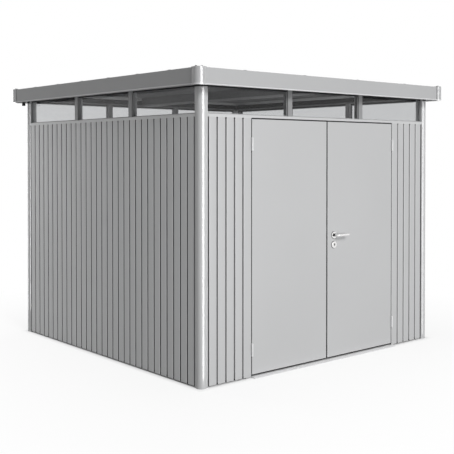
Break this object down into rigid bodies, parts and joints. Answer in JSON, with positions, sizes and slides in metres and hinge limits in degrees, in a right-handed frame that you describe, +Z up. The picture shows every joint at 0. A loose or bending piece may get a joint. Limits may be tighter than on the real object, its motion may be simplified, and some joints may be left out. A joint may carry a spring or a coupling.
{
  "type": "metal tool shed",
  "caption": "Flat-roofed metal tool shed with grooved wall sheets, rounded corner posts, a glazed band under the overhanging roof edge, and a hinged double door with a lever handle.",
  "frame": {"origin": "on the ground, at the middle of the plan", "axes": "+Z up, the door wall faces -Y, +X to the right when facing the door wall from outside"},
  "size_m": [2.774, 2.774, 2.234],
  "materials": {
    "silver_paint": "satin metallic silver-grey stove enamel",
    "zinc_sheet": "grey coated folded sheet",
    "bare_aluminium": "mill finish",
    "clear_pane": "clear acrylic sheet",
    "satin_steel": "satin stainless steel",
    "dark_plastic": "matt black"
  },
  "bodies": {
    "shed": {"corner_post_front_left": "silver_paint", "corner_post_front_right": "silver_paint", "corner_post_back_left": "silver_paint", "corner_post_back_right": "silver_paint", "base_rail_left": "zinc_sheet", "base_rail_right": "zinc_sheet", "base_rail_back": "zinc_sheet", "base_rails_front": "zinc_sheet", "door_threshold": "bare_aluminium", "left_wall": "silver_paint", "right_wall": "silver_paint", "back_wall": "silver_paint", "front_wall_left": "silver_paint", "front_wall_right": "silver_paint", "wall_rail_front": "silver_paint", "wall_rail_left": "silver_paint", "wall_rail_right": "silver_paint", "wall_rail_back": "silver_paint", "door_jamb_left": "zinc_sheet", "door_jamb_right": "zinc_sheet", "glazing_posts_front": "silver_paint", "glazing_posts_left": "silver_paint", "glazing_posts_right": "silver_paint", "glazing_posts_back": "silver_paint", "glazing_front": "clear_pane", "glazing_left": "clear_pane", "glazing_right": "clear_pane", "glazing_back": "clear_pane", "roof_beam_front": "zinc_sheet", "roof_beam_left": "zinc_sheet", "roof_beam_right": "zinc_sheet", "roof_beam_back": "zinc_sheet", "roof_beam_middle": "zinc_sheet", "roof_trays": "silver_paint", "roof_seam_caps": "silver_paint", "roof_edge_front": "silver_paint", "roof_edge_left": "silver_paint", "roof_edge_right": "silver_paint", "roof_edge_back": "silver_paint", "roof_corner_front_left": "silver_paint", "roof_corner_front_right": "silver_paint", "roof_corner_back_left": "silver_paint", "roof_corner_back_right": "silver_paint", "gutter_straps": "zinc_sheet", "rain_outlets": "dark_plastic", "frame_hinges": "silver_paint"},
    "left_door": {"left_door_leaf": "silver_paint", "left_door_hinges": "silver_paint"},
    "right_door": {"right_door_leaf": "silver_paint", "right_door_hinges": "silver_paint", "lock_plates": "satin_steel"},
    "lever": {"door_lever": "satin_steel"}
  },
  "joints": [
    {"name": "left_door_swing", "type": "hinge", "parent": "shed", "child": "left_door", "pos_m": [-0.8015, -1.2875, 0.95], "axis": [0, 0, -1], "range_deg": [0, 105]},
    {"name": "right_door_swing", "type": "hinge", "parent": "shed", "child": "right_door", "pos_m": [0.8015, -1.2875, 0.95], "axis": [0, 0, 1], "range_deg": [0, 105]},
    {"name": "lever_turn", "type": "hinge", "parent": "right_door", "child": "lever", "pos_m": [0.077, -1.28, 0.991], "axis": [0, 1, 0], "range_deg": [0, 40], "stiffness_Nm_per_rad": 1.5, "springref_deg": -11.46}
  ]
}
